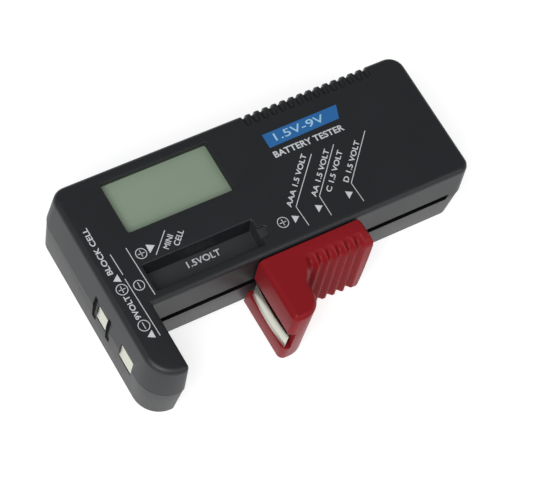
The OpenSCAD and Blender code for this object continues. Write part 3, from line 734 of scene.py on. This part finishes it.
def grip_cutter():
    """Everything in front of a sloping face, in which rounded grooves deepen downwards."""
    face = smooth_path([
        (0, GRIP_START_Y + 2.2, ARM_Z[1] + 0.35),
        (0, GRIP_START_Y + 0.9, ARM_Z[1] + 0.02),
        (0, *GRIP_BEND),
        (0, GRIP_Y + 0.05, ARM_Z[0] - 1)], radius=1.9, steps=8)
    front, low, high = GRIP_Y - 8, ARM_Z[0] - 1, ARM_Z[1] + 3
    rings = []
    for i in range(round((GRIP_X[1] - GRIP_X[0]) / GRIP_STEP) + 1):
        x = GRIP_X[0] + i * GRIP_STEP
        held_off = GRIP_HELD_OFF * (1 - smoothstep((x - GRIP_X[0]) / GRIP_FADE))
        ring = []
        travelled = 0.0
        for k, p in enumerate(face):
            ahead = direction(face, k)
            inwards = Vector((0, -ahead.z, ahead.y))
            if k:
                travelled += (p - face[k - 1]).length
            at = p + inwards * (groove_depth(x, travelled) - held_off)
            ring.append((x, at.y, at.z))
        rings.append(ring + [(x, front, low), (x, front, high), (x, face[0].y, high)])
    return loft("grip", rings)


def into_arm(point):
    """Turns a cutter that works down from Z into one that works from the arm's left side towards +X."""
    x, y, z = point
    return (ARM_X[0] - z, x, y)


# A narrow sloping band runs round the upper edge, with small roundings above and below it
ARM_EDGE = [(ARM_Z[0], 0.35), (ARM_Z[0] + 0.15, 0.12), (ARM_Z[0] + 0.5, 0), (ARM_Z[1] - 1.35, 0),
            (ARM_Z[1] - 1.1, 0.05), (ARM_Z[1] - 0.9, 0.17), (ARM_Z[1] - 0.3, 0.75),
            (ARM_Z[1] - 0.12, 0.95), (ARM_Z[1] - 0.03, 1.15), (ARM_Z[1], 1.4)]
arm = loft("arm", [[(x, y, z) for x, y in arm_outline(inset)] for z, inset in ARM_EDGE])
cut(arm, space_behind())
cut(arm, grip_cutter())

# The leaf's window in the finger's left side, which wraps round the tip
cut(arm, pocket("pocket", (POCKET_Y, Y_FRONT + 3), POCKET_Z, (-POCKET_DEPTH, 0), corner=0.35, fillet=0.3,
                to=into_arm))
cut(arm, block("corner", (ARM_X[0] - OVERCUT, ARM_TIP_Y - OVERCUT, POCKET_Z[0]),
               (ARM_X[0] + 2, POCKET_Y + 0.4, POCKET_Z[1])))

# The tongue through the case's slot, and the flange behind the wall
add(arm, block("tongue", (TONGUE_X[0], GRIP_Y + 2.5, SLOT_Z[0] + TONGUE_CLEARANCE),
               (TONGUE_X[1], FLANGE_Y[0] + 0.3, SLOT_Z[1] - TONGUE_CLEARANCE)))
add(arm, block("flange", (TONGUE_X[0], FLANGE_Y[0], FLANGE_Z[0]), (TONGUE_X[1], FLANGE_Y[1], FLANGE_Z[1])))
finish_mesh(arm, angle=38)
piece(arm, "slider", "arm_plastic", replaces=["slider_arm"])

# ------------------------------------------------------------------ contacts


def strip(name, path, width, thick, axis):
    """Bent sheet metal: a centre line swept sideways by width, with a little thickness."""
    path = [Vector(p) for p in path]
    axis = Vector(axis).normalized()
    rings = []
    for i, p in enumerate(path):
        out = axis.cross(direction(path, i)).normalized()
        h, w, c = thick / 2, width / 2, min(0.06, thick / 4)
        corners = [(-w + c, -h), (w - c, -h), (w, -h + c), (w, h - c), (w - c, h), (-w + c, h),
                   (-w, h - c), (-w, -h + c)]
        rings.append([p + axis * a + out * b for a, b in corners])
    return loft(name, rings)


def snap_contact(name, node, low, high):
    """A sheet folded round the window's two edges, with a tail for its wire."""
    y = (low.y + high.y) / 2
    face = X_LEFT + SNAP_SET_BACK
    back = X_LEFT + WALL + 0.35
    bottom, top = SNAP_Z[0] + 0.3, SNAP_Z[1] - 0.3
    path = smooth_path([(back, y, bottom - SNAP_FLANGE), (back, y, bottom), (face, y, bottom),
                        (face, y, top), (back, y, top), (back, y, top + SNAP_FLANGE)], radius=0.7)
    sheet = strip(name, path, high.y - low.y, SHEET, (0, 1, 0))
    tail = block("tail", (back + 0.1, y - 1, top - SHEET / 2), (back + 2.2, y + 1, top + SHEET / 2))
    contact = joined(name, [sheet, tail])
    finish_mesh(contact, angle=50)
    piece(contact, "case", "contact_metal", replaces=[node])


snap_contact("snap_contact_plus", "nine_volt_plus_plate", PLUS_LOW, PLUS_HIGH)
snap_contact("snap_contact_minus", "nine_volt_minus_plate", MINUS_LOW, MINUS_HIGH)


def leaf_spring():
    """A leaf bowed out of the arm's window, with a leg at each end that runs back into the arm."""
    z = (LEAF_LOW.z + LEAF_HIGH.z) / 2
    front, rear = LEAF_LOW.y + LEAF_END, LEAF_HIGH.y - LEAF_END
    path = []
    for k in range(LEAF_STEPS + 1):
        t = k / LEAF_STEPS
        path.append((LEAF_APEX + LEAF_BOW * (2 * t - 1) ** 2, front + (rear - front) * t, z))
    path.append((LEAF_HIGH.x, rear, z))
    bow = strip("leaf_spring", smooth_path(path, radius=0.35, steps=3), LEAF_WIDTH, LEAF_SHEET, (0, 0, 1))
    leg_y, half = POCKET_Y + LEG_GAP, LEAF_WIDTH / 2 - 0.1
    leg = block("leg", (LEAF_APEX + LEG_GAP, leg_y, z - half), (LEAF_HIGH.x, leg_y + LEAF_SHEET, z + half))
    return joined("leaf_spring", [bow, leg])


leaf = leaf_spring()
finish_mesh(leaf, angle=50)
piece(leaf, "leaf", "contact_metal", replaces=["leaf_contact"])

# ------------------------------------------------------------------ print on the top face

INK = 0.012
INK_LINE = 0.22
CAPITAL_SHARE = 0.72  # a capital's height in the font's size
ink = []


def flat_shape(points):
    """A thin layer of ink."""
    return loft("ink", [[(x, y, level) for x, y in points] for level in (Z_TOP, Z_TOP + INK)])


def line(a, b):
    a, b = Vector(a), Vector(b)
    side = (b - a).normalized().orthogonal() * INK_LINE / 2
    ink.append(flat_shape([a - side, b - side, b + side, a + side]))


def ring_mark(centre, r):
    outer = circle(centre, r, 40)
    inner = circle(centre, r - INK_LINE, 40)
    rings = [[(x, y, z) for x, y in ring] for ring, z in
             ((outer, Z_TOP), (outer, Z_TOP + INK), (inner, Z_TOP + INK), (inner, Z_TOP))]
    ink.append(loft("ink", rings, closed=True))


def polarity(centre, r, positive, turn=0):
    """A ring with a plus or a minus in it."""
    ring_mark(centre, r)
    c = Vector(centre)
    along = Matrix.Rotation(math.radians(turn), 2) @ Vector((r * 0.6, 0))
    line(c - along, c + along)
    if positive:
        line(c - along.orthogonal(), c + along.orthogonal())


def triangle(centre, size=2.1, turn=-28):
    """An arrow head that points along -Y before it is turned."""
    turned = Matrix.Rotation(math.radians(turn), 2)
    points = [turned @ Vector(p) * size for p in ((0, -0.6), (0.5, 0.4), (-0.5, 0.4))]
    ink.append(flat_shape([Vector(centre) + p for p in points]))


def words(text, at, height, turn=0, z=Z_TOP, stretch=1.0, bold=0.045, tilt=0.0):
    """Lettering at a place on the surface; height is that of a capital letter."""
    curve = bpy.data.curves.new("words", "FONT")
    curve.body = text
    curve.size = height * MM / CAPITAL_SHARE
    curve.extrude = INK / 2 * MM
    curve.offset = bold * MM
    curve.align_y = "CENTER"
    curve.space_character = 1.02
    obj = bpy.data.objects.new("words", curve)
    bpy.context.scene.collection.objects.link(obj)
    bpy.context.view_layer.update()
    mesh = bpy.data.meshes.new_from_object(obj.evaluated_get(bpy.context.evaluated_depsgraph_get()))
    bpy.data.objects.remove(obj)
    mesh.transform(Matrix.Translation(Vector((at[0], at[1], z + INK / 2)) * MM)
                   @ Matrix.Rotation(math.radians(turn), 4, "Z") @ Matrix.Rotation(tilt, 4, "X")
                   @ Matrix.Scale(stretch, 4, (1, 0, 0)))
    done = bpy.data.objects.new("ink", mesh)
    bpy.context.scene.collection.objects.link(done)
    ink.append(done)


# Cell sizes beside their leaders; each leader drops to the arm's place for that cell
LEADERS = [
    ((15.2, 1.6), (3.3, -10.5), (3.6, -16.6)),
    ((22.2, 1.7), (10.6, -10.3), (10.6, -16.5)),
    ((32.2, 1.9), (20.4, -10.4), (20.7, -16.4)),
]
for start, bend, end in LEADERS:
    line(start, bend)
    line(bend, end)
start, bend = LEADERS[0][:2]
slope = math.degrees(math.atan2(start[1] - bend[1], start[0] - bend[0]))
for text, at in (("AAA 1.5 VOLT", (1.6, -9.7)), ("AA 1.5 VOLT", (9.2, -9.7)),
                 ("C 1.5 VOLT", (13.5, -10.2)), ("D 1.5 VOLT", (19.2, -9.6))):
    words(text, at, 1.45, turn=slope, stretch=1.3)
for centre in ((1.3, -13.5), (8.6, -13.3), (18.1, -13.1)):
    triangle(centre)
polarity((-2.2, -13.1), 1.6, True)

words("BATTERY TESTER", (5.7, 5.2), 1.85, stretch=1.07, bold=0.065)

# The mini cell's marks round the cradle
line((-31.4, -2.5), (-36.8, -7.8))
polarity((-40.1, -5.9), 1.55, True)
triangle((-37.3, -5.5), size=2.4)
words("MINI", (-33.7, -7.4), 1.55, turn=45, bold=0.03)
words("CELL", (-30.8, -7.6), 1.55, turn=45, bold=0.03)

line((-42.9, -2.9), (-42.5, -17.6))

# The nine-volt battery's marks along the left end
polarity((-44.9, -13.6), 1.5, False, turn=90)
line((-47.4, -2.9), (-47.2, -9.3))
line((-47.3, -10.5), (-46.8, -28.1))
polarity((-49.4, -12.9), 1.6, True)
polarity((-49.2, -24.0), 1.6, False, turn=90)
triangle((-49.0, -9.7), turn=154)
triangle((-48.6, -26.9), turn=152)
words("9VOLT", (-49.35, -22.0), 1.5, turn=90, stretch=1.12)
words("BLOCK CELL", (-49.9, -8.2), 1.5, turn=90, stretch=1.2)

# On the cradle's sloping floor
floor_slope = CRADLE_FALL / (CRADLE_Y[1] - CRADLE_LEAN - CRADLE_Y[0])
at = (-29.5, -11.75)
words("1.5VOLT", at, 1.8, z=CRADLE_FLOOR - floor_slope * (CRADLE_Y[1] - CRADLE_LEAN - at[1]),
      stretch=1.08, tilt=math.atan(floor_slope))

print_white = joined("print_white", ink)
piece(print_white, "case", "case_plastic", look="print_white")

# The coloured label, with the range of voltages
ink = []
label = flat_shape([(5.9, 7.6), (27.7, 8.0), (29.2, 12.1), (5.9, 11.9)])
label.name = "label"
piece(label, "case", "case_plastic", look="label_blue")

words("1.5V-9V", (7.7, 9.85), 2.35, z=Z_TOP + INK, stretch=1.5, bold=0.02)
label_marks = ink.pop()
label_marks.name = "label_marks"
piece(label_marks, "case", "case_plastic", look="label_white")

# ------------------------------------------------------------------ floor, light, camera

FLOOR_GLOW = 0.66

bpy.ops.mesh.primitive_plane_add(size=6, location=(0, 0, -0.0002))
floor = bpy.context.object
floor.name = "floor"
floor_look = surface("floor", (0.5, 0.5, 0.5), rough=0.8, grain=30, variation=0.01, specular=0.1, edge_highlight=0)
floor_inputs = floor_look.node_tree.nodes["Principled BSDF"].inputs
floor_inputs["Emission Color"].default_value = (1, 1, 1, 1)
floor_inputs["Emission Strength"].default_value = FLOOR_GLOW
floor.data.materials.append(floor_look)

world = bpy.data.worlds.new("studio")
world.use_nodes = True
background = world.node_tree.nodes["Background"].inputs
background["Color"].default_value = (0.97, 0.98, 1.0, 1)
background["Strength"].default_value = 0.3
bpy.context.scene.world = world


def softbox(name, at, size, power):
    """A soft light aimed at the object."""
    data = bpy.data.lights.new(name, "AREA")
    data.shape = "RECTANGLE"
    data.size, data.size_y = size
    data.energy = power
    obj = bpy.data.objects.new(name, data)
    bpy.context.scene.collection.objects.link(obj)
    obj.location = at
    obj.rotation_euler = (-Vector(at)).to_track_quat("-Z", "Y").to_euler()


softbox("key", (-0.9, -0.5, 1.2), (1.0, 1.0), 20)
softbox("fill", (0.5, -1.2, 1.0), (1.2, 0.8), 7)

# The camera stands where the photograph's stood, fitted to the edges of the case
CAMERA_AT = Vector((-0.23632, -0.21784, 0.53117))
LOOK_AT = Vector((-0.00230, -0.01101, 0.012))
CAMERA_ROLL = 21.084

camera_data = bpy.data.cameras.new("camera")
camera_data.sensor_width = 36
camera_data.lens = 154.51
camera_data.clip_end = 20
camera = bpy.data.objects.new("camera", camera_data)
bpy.context.scene.collection.objects.link(camera)
aim = (LOOK_AT - CAMERA_AT).to_track_quat("-Z", "Y")
camera.location = CAMERA_AT
camera.rotation_mode = "QUATERNION"
camera.rotation_quaternion = aim @ Quaternion((0, 0, 1), math.radians(CAMERA_ROLL))
bpy.context.scene.camera = camera
bpy.context.scene.view_settings.view_transform = "Standard"
